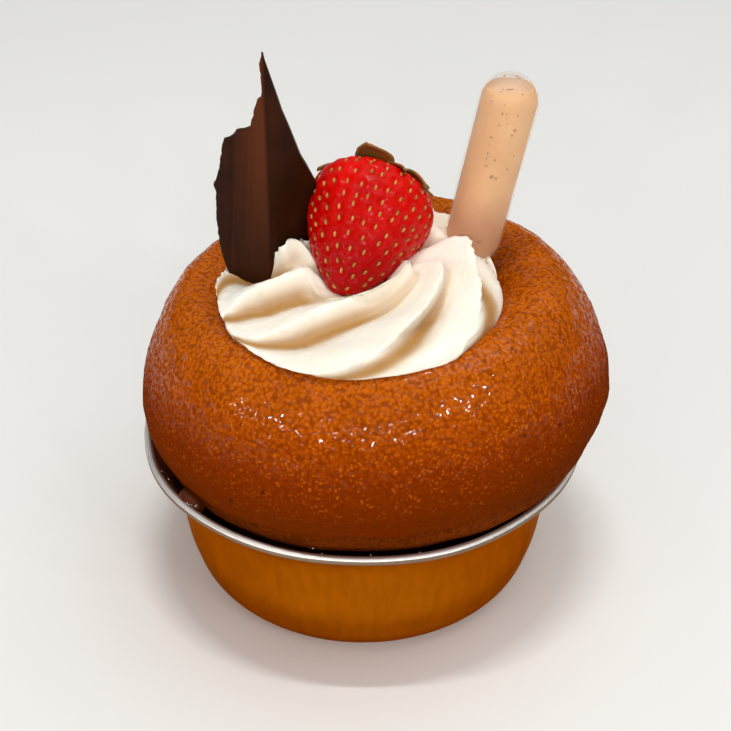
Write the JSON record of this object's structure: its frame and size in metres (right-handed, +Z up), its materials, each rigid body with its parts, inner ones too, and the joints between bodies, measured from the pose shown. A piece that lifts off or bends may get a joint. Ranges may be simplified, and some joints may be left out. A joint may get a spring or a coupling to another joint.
{
  "type": "rum baba",
  "caption": "Domed ring cake soaked in syrup in a shallow foil cup, topped with piped cream, a strawberry, a folded chocolate shard and a squeeze pipette of rum.",
  "frame": {"origin": "centre of the foil cup's flat underside, where it stands", "axes": "+Z up, -Y the front of the food, where the berry's tip points, +X to the side with the pipette"},
  "size_m": [0.1008, 0.0998, 0.1204],
  "materials": {
    "foil": "thin gold-coloured foil with upright brushing and a bare silver rim",
    "crumb": "baked golden-brown crust, pebbly and glossy with syrup",
    "cream": "soft whipped cream with a fine grain",
    "berry": "ripe red skin, glossy, with straw-coloured seeds in shallow pits",
    "leaf": "dry brown and olive leaves",
    "chocolate": "dark tempered chocolate, satin, with scraped streaks",
    "clear_plastic": "thin clear plastic, slightly cloudy",
    "rum": "pale amber liquid",
    "syrup": "clear brown syrup"
  },
  "bodies": {
    "root": {"foil_cup": "foil", "baba": "crumb", "cream": "cream", "strawberry": "berry", "calyx": "leaf", "chocolate_shard": "chocolate", "pipette": "clear_plastic", "rum": "rum", "syrup_bead": "syrup"}
  },
  "joints": []
}
